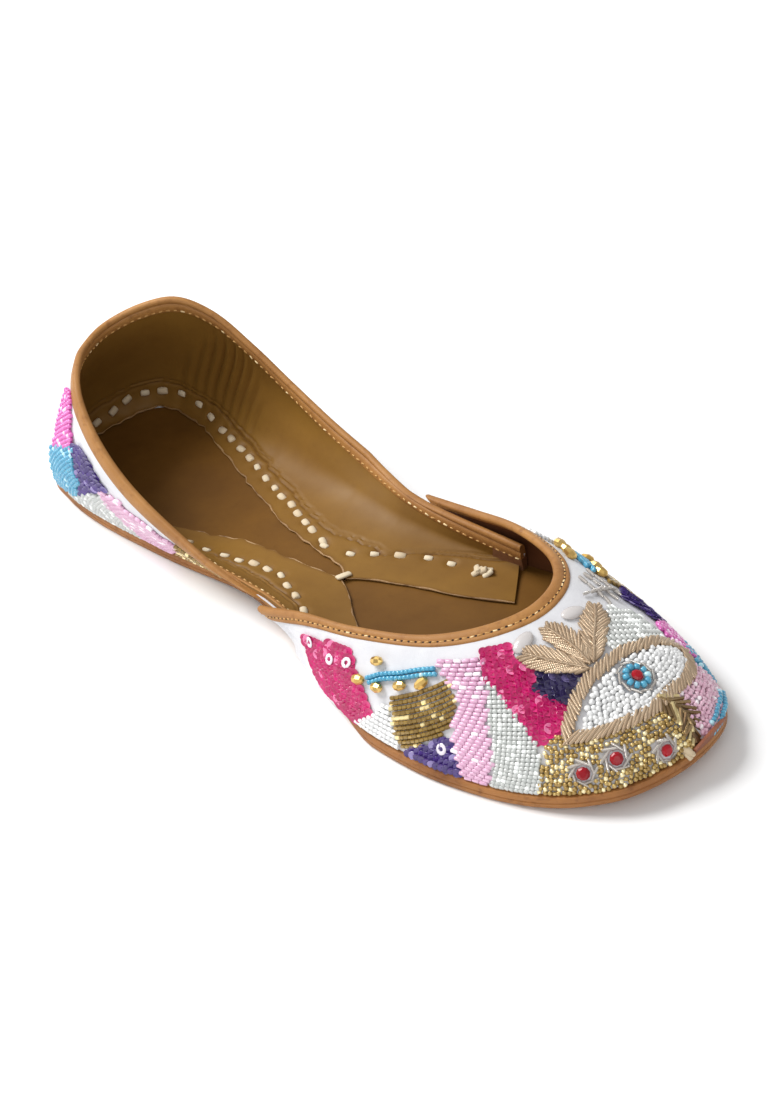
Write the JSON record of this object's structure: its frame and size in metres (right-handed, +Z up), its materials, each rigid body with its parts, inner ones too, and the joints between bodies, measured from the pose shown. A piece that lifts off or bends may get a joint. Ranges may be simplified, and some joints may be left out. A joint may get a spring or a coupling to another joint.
{
  "type": "mojari shoe",
  "caption": "Flat slip-on mojari (jutti) of embroidered satin with leather bindings, leather socks and a thin leather sole; right shoe.",
  "frame": {"origin": "middle of the shoe's box, on the floor that it stands on", "axes": "+X to the toe, +Y to the wearer's left, +Z up"},
  "size_m": [0.2534, 0.088, 0.0537],
  "materials": {
    "sole_leather": "natural tan sole leather, waxed edge",
    "sock_leather": "smooth brown leather, slight sheen",
    "satin": "white satin with beadwork",
    "binding_leather": "tan leather edging, back-stitched"
  },
  "bodies": {
    "root": {"outsole": "sole_leather", "insole_heel": "sock_leather", "insole_forepart": "sock_leather", "vamp": "satin", "vamp_binding": "binding_leather", "quarter": "satin", "quarter_binding": "binding_leather"}
  },
  "joints": []
}
